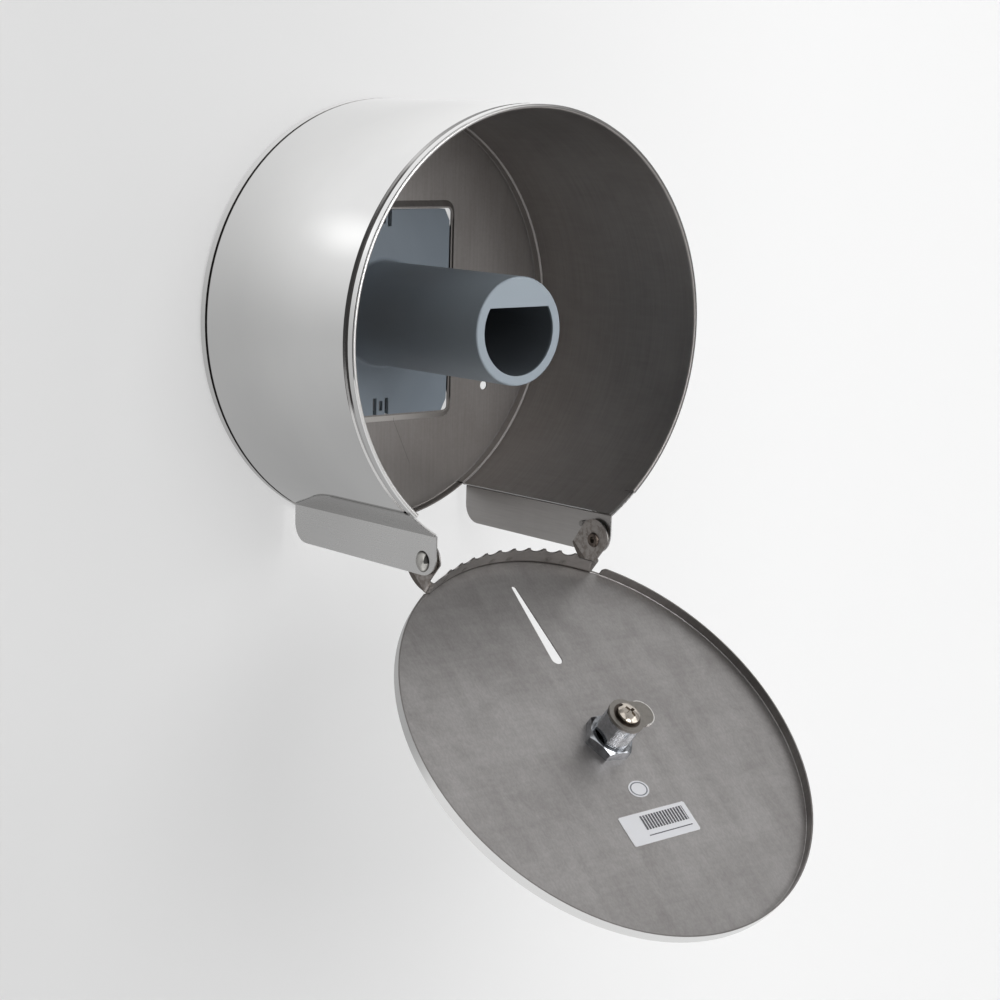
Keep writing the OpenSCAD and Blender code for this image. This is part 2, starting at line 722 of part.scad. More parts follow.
module lock_plug() color(BRASS) on_cover() difference() {
    union() {
        translate([0, 0, lock_front]) cylinder(r = plug_r, h = barrel_h - lock_front);
        translate([0, 0, barrel_h]) linear_extrude(cam_top - 0.1 - barrel_h) tail_section(0);
    }
    // Keyway
    translate([-keyway[0] / 2, -keyway[1] / 2, lock_front - cut])
        cube([keyway[0], keyway[1], wafer_last + wafer_t + wafer_play - lock_front + cut]);
    for (i = [0 : wafer_count - 1]) translate([0, 0, wafer_z(i)]) {
        translate([-wafer_w / 2 - wafer_play, -2 * plug_r, -wafer_play])
            cube([wafer_w + 2 * wafer_play, 4 * plug_r, wafer_t + 2 * wafer_play]);
        translate([wafer_w / 2, -touch_gap - spring_len - wafer_play, -wafer_play - spring_room])
            cube([shoulder_w, touch_gap + spring_len + shoulder_h + 2 * (wafer_play + spring_room),
                  wafer_t + 2 * (wafer_play + spring_room)]);
    }
    translate([0, 0, screw_tip - screw_room])
        cylinder(d = screw_d + 2 * run_gap, h = screw_len + screw_room + cut);
}

// Flat wafers with a window for the key and a shoulder for the spring
module lock_wafers() color(BRASS) on_cover() for (i = [0 : wafer_count - 1])
    translate([0, 0, wafer_z(i)]) linear_extrude(wafer_t) {
        difference() {
            intersection() {
                circle(plug_r - 0.1);
                square([wafer_w, 2 * plug_r], center = true);
            }
            square(wafer_window, center = true);
        }
        translate([wafer_w / 2 - 2 * wafer_play, 0]) square([shoulder_w, shoulder_h]);
    }

module wafer_springs() color(STEEL) on_cover() for (i = [0 : wafer_count - 1])
    translate([(wafer_w + shoulder_w) / 2, -touch_gap, wafer_z(i) + wafer_t / 2])
        rotate([90, 0, 0]) difference() {
            cylinder(r = spring_r, h = spring_len, $fn = 24);
            translate([0, 0, -cut])
                cylinder(r = spring_r - spring_wall, h = spring_len + 2 * cut, $fn = 24);
        }

module stop_washer() color(CHROME) on_cover() translate([0, 0, barrel_h + touch_gap])
    difference() {
        union() {
            cylinder(r = collar_in - 0.15, h = stop_t);
            rotate([0, 0, 180 - tab_half]) rotate_extrude(angle = 2 * tab_half)
                translate([tail_r + 1, 0]) square([tab_r - tail_r - 1, stop_t]);
        }
        translate([0, 0, -cut]) linear_extrude(stop_t + 2 * cut) tail_section(run_gap);
    }

module lock_cam() color(NICKEL) on_cover() translate([0, 0, cam_base])
    linear_extrude(cam_t) difference() {
        union() {
            circle(barrel_r + 0.4);
            translate([0, -cam_w / 2]) square([cam_reach - cam_corner, cam_w]);
            translate([0, -cam_w / 2 + cam_corner]) square([cam_reach, cam_w - 2 * cam_corner]);
            for (s = [-1, 1])
                translate([cam_reach - cam_corner, s * (cam_w / 2 - cam_corner)])
                    circle(cam_corner);
        }
        tail_section(run_gap);
    }

module cam_washer() color(NICKEL) on_cover() translate([0, 0, cam_top]) difference() {
    cylinder(d = screw_head_d - 0.4, h = cam_washer_t);
    translate([0, 0, -cut]) cylinder(d = screw_d + 0.4, h = cam_washer_t + 2 * cut);
}

module cam_screw() color(NICKEL) on_cover() {
    head = cam_top + cam_washer_t;
    rim = 0.9;
    recess = [6.4, 1.5];
    translate([0, 0, screw_tip]) cylinder(d = screw_d, h = head + rim / 2 - screw_tip);
    difference() {
        union() {
            translate([0, 0, head]) cylinder(d = screw_head_d, h = rim);
            translate([0, 0, head + rim]) dome(screw_head_d / 2, screw_head_h - rim);
        }
        for (a = [0, 90]) rotate([0, 0, a + 20])
            translate([-recess[0] / 2, -recess[1] / 2, head + rim])
                cube([recess[0], recess[1], screw_head_h]);
    }
}

// ---- labels inside the cover ----

module blank_label() color(PAPER) on_cover() translate([label_side, -label_place, 0])
    rotate([0, 0, label_lean]) linear_extrude(paper_t) rounded_rect(label_w, label_h, label_corner);

module blank_sticker() color(PAPER) on_cover() translate([sticker_side, -sticker_place, 0])
    linear_extrude(paper_t) polygon([for (a = [0 : 7.5 : 352.5])
        [sticker_w / 2 * cos(a), sticker_h / 2 * sin(a)]]);

back_plate();
drum_shell();
bracket_left();
bracket_right();
core_holder();
hinge_rivets();
hinge_washers();
stop_studs();
cover_pan();
tear_strip();
lock_housing();
lock_gasket();
lock_nut();
blank_label();
blank_sticker();
lock_plug();
lock_wafers();
wafer_springs();
stop_washer();
lock_cam();
cam_washer();
cam_screw();
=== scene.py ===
import json
import math
import bpy
from mathutils import Matrix, Vector


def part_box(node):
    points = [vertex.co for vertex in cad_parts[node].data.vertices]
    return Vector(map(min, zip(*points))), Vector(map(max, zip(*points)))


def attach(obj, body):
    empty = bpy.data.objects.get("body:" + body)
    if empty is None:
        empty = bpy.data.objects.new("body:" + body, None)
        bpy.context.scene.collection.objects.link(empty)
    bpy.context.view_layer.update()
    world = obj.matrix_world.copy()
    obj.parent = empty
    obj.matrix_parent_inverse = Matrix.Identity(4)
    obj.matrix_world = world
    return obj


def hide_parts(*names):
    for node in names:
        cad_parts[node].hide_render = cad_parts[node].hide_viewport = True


# A round steel toilet roll dispenser on its wall, with the cover hanging open.
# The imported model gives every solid; this script gives the finishes, the thread, welds, springs
# and prints that are too fine for it, and the wall, floor, light and camera.
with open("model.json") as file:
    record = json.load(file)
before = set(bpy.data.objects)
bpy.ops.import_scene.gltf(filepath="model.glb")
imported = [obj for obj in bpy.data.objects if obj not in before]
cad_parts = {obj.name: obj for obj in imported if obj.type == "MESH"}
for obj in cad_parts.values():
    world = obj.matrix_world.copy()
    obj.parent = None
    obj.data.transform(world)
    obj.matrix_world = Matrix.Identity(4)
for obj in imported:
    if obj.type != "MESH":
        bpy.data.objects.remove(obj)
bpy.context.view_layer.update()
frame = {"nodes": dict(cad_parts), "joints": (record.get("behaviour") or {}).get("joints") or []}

MM = 0.001

# ---- places and sizes, from the frame ----

nodes = frame["nodes"]
joints = {joint["name"]: joint for joint in frame["joints"]}
HINGE = Vector(joints["cover_hinge"]["pos_m"])
OPEN_ANGLE = math.radians(joints["cover_hinge"]["range_deg"][1])
LOCK = Vector(joints["lock_turn"]["pos_m"])

DRUM_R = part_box("drum_shell")[1].x
RIM_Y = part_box("drum_shell")[0].y
HEM = 4.5 * MM              # depth of the folded hem at the rim
GROOVE = 3.2 * MM           # width of the groove behind it
BACK_STEP = 6.7 * MM        # depth of the drum's stepped back edge

# The cover's own frame: its origin where the lock passes the inside, x to the right,
# y down across the closed cover, z out of its inside
COVER_FRAME = Matrix.Translation(LOCK) @ Matrix.Rotation(OPEN_ANGLE - math.pi / 2, 4, "X")
# Turns a place on the closed cover to where it is with the cover open
OPENED = Matrix.Translation(HINGE) @ Matrix.Rotation(OPEN_ANGLE, 4, "X") @ Matrix.Translation(-HINGE)

HOLDER_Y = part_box("core_holder")[0].y
MARGIN_HALF = 62 * MM       # from the drum's axis to the outside of the back plate's raised margin
SPINDLE_R = 27.75 * MM
BORE_R = 23 * MM            # a little wider than the spindle's bore, so that all of it is caught

BARREL_R = 9.5 * MM
BARREL_FLAT = 8.1 * MM
NUT_TOP = 6 * MM
THREAD_PITCH = 1.0 * MM
THREAD_HEIGHT = 0.09 * MM
THREAD_START = NUT_TOP + 0.8 * MM
THREAD_TURNS = 12
THREAD_END_TURN = 0.03      # radians by which each ridge stops short of the barrel's flats

RIVET_EDGE_R = 4.3 * MM     # where the painted shadow round a rivet's head begins
RIVET_EDGE_W = 0.8 * MM
CAM_SHADOW_R = 7.4 * MM       # of the painted shadow round the cam's screw
CAM_END_X = 9.4 * MM        # middle and radius of the tongue's round end
CAM_END_R = 7.4 * MM

STRIP_R = 114.3 * MM
STRIP_WELD_DEPTH = 128.0 * MM
STRIP_WELD_ANGLES = (-21.5, -13.5, -3.2, 2.6, 14.8, 19.4)
WELD_R = 1.5 * MM
WELD_HEIGHT = 0.12 * MM

LABEL_CENTRE = (1.9 * MM, -50.5 * MM)
LABEL_TURN = math.radians(2.0)
STICKER_CENTRE = (2.0 * MM, -29.6 * MM)
STICKER_HALF = (6.3 * MM, 4.8 * MM)
STICKER_RING = 0.78         # the ring's share of the way out to the sticker's edge

WAFER_FIRST = 0.4 * MM
WAFER_PITCH = 2.625 * MM
WAFER_T = 1.0 * MM
WAFERS = 5
SPRING_PLACE = (3.2 * MM, -4.15 * MM)
SPRING_LENGTH = 4.0 * MM
SPRING_R = 0.45 * MM
SPRING_WIRE = 0.1 * MM
SPRING_COILS = 8.0

# ---- building node trees ----


class Value:
    """An output of a node tree; Python's operators on it add Math nodes."""

    def __init__(self, nodes, socket):
        self.nodes = nodes
        self.socket = socket

    def math(self, operation, *others):
        inputs = dict(enumerate((self, *others)))
        return self.nodes.add("ShaderNodeMath", {"operation": operation}, inputs)

    def __add__(self, other):
        return self.math("ADD", other)

    def __sub__(self, other):
        return self.math("SUBTRACT", other)

    def __rsub__(self, other):
        return self.nodes.add("ShaderNodeMath", {"operation": "SUBTRACT"}, {0: other, 1: self})

    def __mul__(self, other):
        return self.math("MULTIPLY", other)

    def __truediv__(self, other):
        return self.math("DIVIDE", other)

    def __abs__(self):
        return self.math("ABSOLUTE")

    __radd__ = __add__
    __rmul__ = __mul__

    def root(self):
        return self.math("SQRT")

    def step(self, low, high, start=0.0, end=1.0):
        """Runs smoothly from start, at low or less, to end, at high or more."""
        settings = {"interpolation_type": "SMOOTHSTEP"}
        inputs = {"Value": self, "From Min": low, "From Max": high, "To Min": start, "To Max": end}
        return self.nodes.add("ShaderNodeMapRange", settings, inputs)

    def upto(self, limit, fade):
        """1 as far as the limit, and 0 beyond a fade of that width."""
        return self.step(limit, limit + fade, 1, 0)


def length(a, b):
    """The length of a vector with those two parts at right angles."""
    return (a * a + b * b).root()


class Nodes:
    """A node tree and the one way in which this script adds a node to it."""

    def __init__(self, tree):
        self.tree = tree

    def add(self, kind, settings=None, inputs=None, out=0):
        """Adds a node, with its settings first and then its inputs, and returns one of its outputs."""
        node = self.tree.nodes.new(kind)
        for name, value in (settings or {}).items():
            setattr(node, name, value)
        for key, value in (inputs or {}).items():
            for item in value if isinstance(value, list) else [value]:
                if isinstance(item, Value):
                    self.tree.links.new(item.socket, node.inputs[key])
                else:
                    node.inputs[key].default_value = item
        return Value(self, node.outputs[out])

    def again(self, value, out):
        """Another output of the node that value comes from."""
        return Value(self, value.socket.node.outputs[out])


class Finish(Nodes):
    """A material round one Principled shader, with the patterns that its finish is made of."""

    def __init__(self, name, **fixed):
        self.material = bpy.data.materials.new(name)
        self.material.use_nodes = True
        super().__init__(self.material.node_tree)
        self.shader = self.tree.nodes["Principled BSDF"]
        for socket, value in fixed.items():
            self.set(socket.replace("_", " "), value)

    def set(self, socket, value):
        """Gives one of the shader's sockets a link, a colour or a number."""
        if isinstance(value, Value):
            self.tree.links.new(value.socket, self.shader.inputs[socket])
        elif isinstance(value, tuple):
            self.shader.inputs[socket].default_value = (*value, 1)
        else:
            self.shader.inputs[socket].default_value = value

    def place(self, frame_of=None, stretch=(1, 1, 1)):
        """Object coordinates, moved into a frame and then stretched."""
        where = self.add("ShaderNodeTexCoord", out="Object")
        if frame_of is not None:
            back = frame_of.inverted()
            inputs = {"Vector": where, "Location": back.translation, "Rotation": back.to_euler()}
            where = self.add("ShaderNodeMapping", None, inputs)
        if stretch != (1, 1, 1):
            where = self.add("ShaderNodeMapping", None, {"Vector": where, "Scale": stretch})
        return where

    def xyz(self, where):
        """The three parts of a place or a direction."""
        x = self.add("ShaderNodeSeparateXYZ", None, {"Vector": where})
        return x, self.again(x, 1), self.again(x, 2)

    def facing(self):
        """The way that the surface faces on its own piece, which stays when the piece moves."""
        return self.add("ShaderNodeTexCoord", out="Normal")

    def noise(self, where, scale, detail=3.0, roughness=0.55, distortion=0.0):
        """Soft noise about 0.5 whose features are about 1 / scale metres across."""
        inputs = {"Vector": where, "Scale": scale, "Detail": detail, "Roughness": roughness,
                  "Distortion": distortion}
        return self.add("ShaderNodeTexNoise", None, inputs)

    def mix(self, factor, first, second):
        """Colour first where factor is 0 and second where it is 1."""
        colours = [c if isinstance(c, Value) else (*c, 1) for c in (first, second)]
        settings = {"data_type": "RGBA"}
        inputs = {"Factor": factor, 6: colours[0], 7: colours[1]}
        return self.add("ShaderNodeMix", settings, inputs, out=2)

    def bump(self, height, distance):
        """Bends the surface by a height from 0 to 1 that stands for distance."""
        inputs = {"Height": height, "Distance": distance, "Strength": 1.0}
        self.set("Normal", self.add("ShaderNodeBump", None, inputs))

    def give_to(self, *names):
        """Puts the finish on those nodes of the model."""
        for name in names:
            for material_slot in nodes[name].material_slots:
                material_slot.material = self.material


# ---- steel ----

POLISHED = (0.78, 0.78, 0.775)
# dark steel for the cover's speckled grime and its painted shade near the hinge
GRIME_AND_SHADE = (0.17, 0.163, 0.158)
# painted shade for the drum's groove and seam
GAP_SHADE = (0.03, 0.027, 0.025)


def outwardness(finish, where):
    """1 where the surface faces away from the drum's axis, -1 where it faces the axis."""
    x, _, z = finish.xyz(where)
    nx, _, nz = finish.xyz(finish.facing())
    return (x * nx + z * nz) / length(x, z)


def mill_tone(finish, where, across, along):
    """Roller marks of cold-rolled sheet: fine streaks over slow clouds, about 0.5."""
    streaks = finish.noise(across, 1.0, detail=4, roughness=0.65)
    clouds = finish.noise(where, 22, detail=3, distortion=0.6)
    fine = finish.noise(along, 1.0, detail=2)
    return streaks * 0.45 + clouds * 0.35 + fine * 0.2


def drum_steel():
    """Mirror-polished outside, dull rolled sheet inside, with painted shade in the groove, the seam and the
    hem's right edge.
    """
    finish = Finish("drum_steel", Metallic=1.0)
    where = finish.place()
    x, y, z = finish.xyz(where)
    _, ny, _ = finish.xyz(finish.facing())
    inside = outwardness(finish, where).step(-0.45, -0.25, 1, 0)
    tone = mill_tone(finish, where, finish.place(None, (26, 900, 26)), finish.place(None, (500, 60, 500)))
    dull = finish.mix(tone.step(0.3, 0.7), (0.345, 0.325, 0.315), (0.445, 0.424, 0.411))
    smudge = finish.noise(where, 9, detail=4, roughness=0.6)
    bright = finish.mix(smudge.step(0.35, 0.75), POLISHED, (0.74, 0.74, 0.74))
    # painted shade in the groove behind the hem, faded at top and bottom, and in the stepped back's seam
    hem_back = RIM_Y + HEM
    groove_shade = y.step(hem_back - 0.6 * MM, hem_back - 0.4 * MM) * y.upto(hem_back + GROOVE + 0.2 * MM, 0.3 * MM)
    groove_shade = groove_shade * z.step(78 * MM, 88 * MM, 1, 0.4) * z.step(-36 * MM, -28 * MM, 0.2, 0.97)
    seam_shade = y.step(-BACK_STEP - 0.8 * MM, -BACK_STEP - 0.3 * MM) * z.upto(98 * MM, 14 * MM)
    outer = length(x, z).step(DRUM_R - 8 * MM, DRUM_R - 7 * MM)
    bright = finish.mix(groove_shade.math("MAXIMUM", seam_shade) * outer, bright, GAP_SHADE)
    # the hem's front edge, bright on the left, with painted shade on the right
    edge = ny.step(-0.9, -0.5, 1, 0).math("MAXIMUM", ny.step(-0.4, -0.1, 1, 0) * x.step(0, 20 * MM))
    # painted shade on the right of the hem's front edge
    wear_and_edge_shade = finish.mix(x.step(-70 * MM, 30 * MM), (0.72, 0.71, 0.70), (0.10, 0.094, 0.09))
    bright = finish.mix(edge * 0.9, bright, wear_and_edge_shade)
    finish.set("Base Color", finish.mix(inside, bright, dull))
    dull_rough = tone.step(0.3, 0.7, 0.50, 0.58)
    bright_rough = smudge.step(0.3, 0.8, 0.045, 0.085) + edge * 0.3
    finish.set("Roughness", inside * dull_rough + (1 - inside) * bright_rough)
    ripple = finish.noise(where, 34, detail=1)
    grain = finish.noise(finish.place(None, (120, 2400, 120)), 1.0, detail=2)
    finish.bump(ripple * (1 - inside) + grain * inside * 0.10, 0.06 * MM)
    return finish


def back_steel():
    """Dull rolled sheet with a long fine scratch and a raised margin, and a polished skirt."""
    finish = Finish("back_steel", Metallic=1.0)
    where = finish.place()
    x, _, z = finish.xyz(where)
    skirt = outwardness(finish, where).step(0.8, 0.95)
    tone = mill_tone(finish, where, finish.place(None, (700, 26, 26)), finish.place(None, (500, 60, 500)))
    colour = finish.mix(tone.step(0.3, 0.7), (0.275, 0.259, 0.25), (0.355, 0.338, 0.328))
    colour = finish.mix(z.step(-100 * MM, -50 * MM, 0.3, 0), colour, (0.15, 0.14, 0.13))
    # the slope of the margin round the holder's window: its sill shines and its jambs are in shadow
    _, ny, _ = finish.xyz(finish.facing())
    slope = ny.step(-0.97, -0.9) * abs(x).upto(MARGIN_HALF, 2 * MM)
    sill = slope * z.step(-90 * MM, -80 * MM) * z.upto(-50 * MM, 20 * MM)
    jamb = slope * abs(x).step(39 * MM, 41 * MM) * abs(z).upto(48 * MM, 4 * MM)
    colour = finish.mix(sill, colour, (0.62, 0.60, 0.58))
    colour = finish.mix(jamb * 0.85, colour, (0.04, 0.037, 0.035))
    start, end = Vector((11, -57)) * MM, Vector((24.5, -85)) * MM
    reach = (end - start).length
    along = (end - start).normalized()
    off = abs((x - start.x) * along.y - (z - start.y) * along.x)
    run = (x - start.x) * along.x + (z - start.y) * along.y
    scratch = off.upto(0.08 * MM, 0.22 * MM) * run.step(0, 2 * MM) * run.upto(reach - 3 * MM, 3 * MM)
    colour = finish.mix(scratch * 0.45, colour, (0.12, 0.115, 0.11))
    finish.set("Base Color", finish.mix(skirt, colour, POLISHED))
    finish.set("Roughness", (1 - skirt) * tone.step(0.3, 0.7, 0.46, 0.56) + skirt * 0.08)
    finish.bump(tone * (1 - skirt) - scratch * 0.5, 0.02 * MM)
    return finish


def cover_steel():
    """Dull inside, with crossing roller and wiping marks, stains and painted shade; mirror-polished outside.
    """
    finish = Finish("cover_steel", Metallic=1.0)
    where = finish.place(COVER_FRAME)
    x, y, _ = finish.xyz(where)
    inward = OPENED.to_3x3() @ Vector((0, 1, 0))
    facing = finish.add("ShaderNodeVectorMath", {"operation": "DOT_PRODUCT"},
                        {0: finish.facing(), 1: inward}, out="Value")
    radial = length(x, y)
    outside = facing.step(-0.6, -0.4, 1, 0)
    skirt_out = radial.step(DRUM_R + 1.7 * MM, DRUM_R + 1.8 * MM)
    lip = radial.step(DRUM_R + 1.1 * MM, DRUM_R + 1.2 * MM) * facing.step(0.8, 0.95)
    polished = outside.math("MAXIMUM", skirt_out) * (1 - lip)
    skirt_in = facing.step(0.3, 0.6, 1, 0)
    rolled = finish.noise(finish.place(COVER_FRAME, (95, 12, 1)), 1.0,
                          detail=7, roughness=0.62, distortion=0.3)
    wiped = finish.noise(finish.place(COVER_FRAME, (18, 210, 1)), 1.0,
                         detail=7, roughness=0.7, distortion=0.3)
    speckle = finish.noise(finish.place(COVER_FRAME, (900, 420, 1)), 1.0, detail=4, roughness=0.7)
    stain = finish.noise(where, 42, detail=6, roughness=0.65, distortion=0.6)
    cloud = finish.noise(where, 11, detail=3, distortion=0.5)
    tone = rolled * 0.26 + wiped * 0.16 + stain * 0.33 + cloud * 0.25
    dull = finish.mix(tone.step(0.36, 0.64), (0.372, 0.356, 0.350), (0.53, 0.513, 0.507))
    # painted shade towards the hinge, and darker towards the far end
    near_hinge = y.step(20 * MM, 110 * MM, 0, 0.36)
    far_end = y.step(-110 * MM, -60 * MM, 0.14, 0)
    dull = finish.mix(near_hinge + far_end, dull, GRIME_AND_SHADE)
    dull = finish.mix(speckle.step(0.4, 0.6, 0.16, 0), dull, GRIME_AND_SHADE)
    # painted shade on the inside of the skirt and in the corner at its foot
    dull = finish.mix(skirt_in * 0.5 + lip * 0.45, dull, (0.12, 0.11, 0.10))
    finish.set("Base Color", finish.mix(polished, dull, POLISHED))
    finish.set("Roughness", (1 - polished) * tone.step(0.3, 0.7, 0.46, 0.36) + polished * 0.06)
    finish.bump((rolled + stain) * (1 - polished) * 0.5, 0.015 * MM)
    return finish


def strip_steel():
    """Satin sheet with dark heat marks round the spot welds, and stained ears."""
    finish = Finish("strip_steel", Metallic=1.0)
    where = finish.place()
    tone = mill_tone(finish, where, finish.place(None, (60, 500, 500)), finish.place(None, (400, 400, 400)))
    colour = finish.mix(tone.step(0.3, 0.7), (0.24, 0.229, 0.221), (0.305, 0.293, 0.284))
    nx, _, _ = finish.xyz(finish.facing())
    ear = finish.mix(finish.noise(where, 420, detail=5, roughness=0.65).step(0.42, 0.62),
                     (0.43, 0.40, 0.38), (0.28, 0.25, 0.23))
    colour = finish.mix(abs(nx).step(0.6, 0.8), colour, ear)
    _, depth, _ = finish.xyz(finish.place(OPENED))
    foot = depth.step(-129.9 * MM, -129.3 * MM, 0.7, 0)
    colour = finish.mix(foot, colour, (0.07, 0.055, 0.045))
    mark = None
    for angle in STRIP_WELD_ANGLES:
        centre = weld_place(angle).translation
        away = finish.add("ShaderNodeVectorMath", {"operation": "DISTANCE"},
                          {0: where, 1: centre}, out="Value")
        spot = away.step(0.6 * WELD_R, 1.9 * WELD_R, 1, 0)
        mark = spot if mark is None else mark.math("MAXIMUM", spot)
    uneven = finish.noise(where, 700, detail=3).step(0.35, 0.6)
    mark = mark * (0.35 + uneven * 0.65)
    finish.set("Base Color", finish.mix(mark * 0.6, colour, (0.13, 0.12, 0.115)))
    finish.set("Roughness", tone.step(0.3, 0.7, 0.30, 0.42) + mark * 0.15)
    finish.bump(tone, 0.015 * MM)
    return finish


def bracket_steel():
    """Satin sheet brushed along its length, with the dull side of the sheet inside and painted shade on the
    flanges.
    """
    finish = Finish("bracket_steel", Metallic=1.0)
    where = finish.place()
    x, _, _ = finish.xyz(where)
    nx, _, _ = finish.xyz(finish.facing())
    inside = (x.math("SIGN") * nx).step(-0.6, -0.4, 1, 0)
    streaks = finish.noise(finish.place(None, (900, 35, 900)), 1.0, detail=4, roughness=0.7)
    clouds = finish.noise(where, 30, detail=3)
    tone = streaks * 0.5 + clouds * 0.5
    satin = finish.mix(tone.step(0.3, 0.7), (0.79, 0.785, 0.78), (0.83, 0.825, 0.82))
    dull = finish.mix(tone.step(0.3, 0.7), (0.46, 0.442, 0.43), (0.56, 0.542, 0.53))
    # painted shade on the flanges, the faces that do not face sideways
    satin = finish.mix(abs(nx).step(0.75, 0.9, 0.6, 0), satin, (0.28, 0.275, 0.27))
    finish.set("Base Color", finish.mix(inside, satin, dull))
    finish.set("Roughness", tone.step(0.3, 0.7, 0.22, 0.32) + inside * 0.1)
    finish.bump(streaks, 0.002 * MM)
    return finish


def bright_metal(name, colour, roughness, tarnish):
    """Plated or polished small parts, with a little cloudy tarnish and fine scratches."""
    finish = Finish(name, Metallic=1.0)
    where = finish.place()
    cloud = finish.noise(where, 260, detail=4, roughness=0.6)
    scratches = finish.noise(finish.place(None, (4000, 500, 900)), 1.0, detail=2)
    dark = tuple(c * (1 - tarnish) for c in colour)
    finish.set("Base Color", finish.mix(cloud.step(0.35, 0.7), colour, dark))
    finish.set("Roughness", cloud.step(0.3, 0.75, roughness, roughness * 1.9))
    finish.bump(scratches, 0.004 * MM)
    return finish


def rivet_steel():
    """Bright heads outside with painted shadow round their edge, and inner ends dark brown."""
    finish = Finish("rivet_steel", Metallic=1.0)
    where = finish.place()
    x, y, z = finish.xyz(where)
    nx, _, _ = finish.xyz(finish.facing())
    cloud = finish.noise(where, 300, detail=4, roughness=0.6)
    # dark brown on the inner ends, the faces towards the middle
    inner_ends = (x.math("SIGN") * nx).step(-0.3, -0.05, 1, 0)
    off_axis = length(y - HINGE.y, z - HINGE.z)
    bright = finish.mix(cloud.step(0.35, 0.7), (0.62, 0.61, 0.58), (0.40, 0.39, 0.37))
    # painted shadow round the edge of each head
    painted_edge_shadow = off_axis.step(RIVET_EDGE_R, RIVET_EDGE_R + RIVET_EDGE_W, 0, 0.9)
    bright = finish.mix(painted_edge_shadow, bright, (0.05, 0.047, 0.044))
    brown = finish.mix(cloud.step(0.35, 0.65), (0.20, 0.165, 0.14), (0.10, 0.08, 0.07))
    finish.set("Base Color", finish.mix(inner_ends, bright, brown))
    finish.set("Roughness", cloud.step(0.3, 0.75, 0.07, 0.14) + inner_ends * 0.25)
    return finish


def cam_nickel():
    """Warm nickel with a painted highlight round the tongue's end and painted shadow round the screw."""
    finish = Finish("cam_nickel", Metallic=1.0)
    where = finish.place(COVER_FRAME)
    x, y, _ = finish.xyz(where)
    cloud = finish.noise(where, 260, detail=4, roughness=0.6)
    plating = finish.mix(cloud.step(0.35, 0.7), (0.33, 0.31, 0.285), (0.28, 0.265, 0.245))
    # painted shadow round the screw's head, dark brown like the washer under it
    painted_head_shadow = length(x, y).upto(CAM_SHADOW_R - 0.3 * MM, 0.5 * MM)
    plating = finish.mix(painted_head_shadow * 0.9, plating, (0.075, 0.058, 0.047))
    off_end = length(x - CAM_END_X, y)
    # painted highlight along the edge of the tongue's round end
    painted_edge_highlight = off_end.step(CAM_END_R - 0.55 * MM, CAM_END_R - 0.3 * MM)
    painted_edge_highlight = painted_edge_highlight * x.step(CAM_END_X - 1 * MM, CAM_END_X)
    finish.set("Base Color", finish.mix(painted_edge_highlight, plating, (0.95, 0.93, 0.90)))
    finish.set("Roughness", cloud.step(0.3, 0.75, 0.3, 0.5) - painted_edge_highlight * 0.1)
    return finish


# ---- plastic, rubber and paper ----

PAPER_WHITE = (0.69, 0.695, 0.72)


def grey_plastic():
    """Moulded blue-grey plastic: faint flow marks and a fine spark-eroded grain; painted shade inside,
    painted light at the front.
    """
    finish = Finish("grey_plastic", Metallic=0.0)
    finish.set("Specular IOR Level", 0.45)
    where = finish.place()
    flow = finish.noise(finish.place(None, (14, 5, 14)), 1.0, detail=3, distortion=1.2)
    grain = finish.noise(where, 2600, detail=2)
    colour = finish.mix(flow.step(0.35, 0.7), (0.205, 0.243, 0.284), (0.228, 0.27, 0.314))
    x, y, z = finish.xyz(where)
    off_axis = length(x, z)
    bore = off_axis.upto(BORE_R, 0.3 * MM) * y.step(HOLDER_Y, HOLDER_Y + 2 * MM)
    plate = off_axis.step(SPINDLE_R + 0.75 * MM, SPINDLE_R + 1.25 * MM)
    root = y.step(-85 * MM, -30 * MM, 0, 0.4) * (1 - plate)
    front = y.step(HOLDER_Y, -60 * MM, 0.9, 0) * (1 - bore)
    # painted shade on the upper part of the holder's plate
    colour = finish.mix(plate * z.step(-40 * MM, 40 * MM, 0, 0.3), colour, (0.12, 0.14, 0.16))
    # painted shade towards the spindle's root, deep in the drum
    colour = finish.mix(root, colour, (0.10, 0.105, 0.11))
    # painted light on the spindle's front
    colour = finish.mix(front, colour, (0.32, 0.37, 0.415))
    # painted shade in the bore
    finish.set("Base Color", finish.mix(bore * 0.7, colour, (0.03, 0.03, 0.031)))
    finish.set("Roughness", flow.step(0.3, 0.7, 0.40, 0.48) + grain * 0.04)
    finish.bump(grain, 0.012 * MM)
    return finish


def plain(name, colour, roughness, grain_size, height):
    """Rubber, nylon or paper with its own fine grain."""
    finish = Finish(name, Metallic=0.0)
    grain = finish.noise(finish.place(), 1 / grain_size, detail=3)
    finish.set("Base Color", finish.mix(grain.step(0.3, 0.7), colour, tuple(c * 0.93 for c in colour)))
    finish.set("Roughness", grain.step(0.2, 0.8, roughness - 0.06, roughness + 0.04))
    finish.bump(grain, height)
    return finish


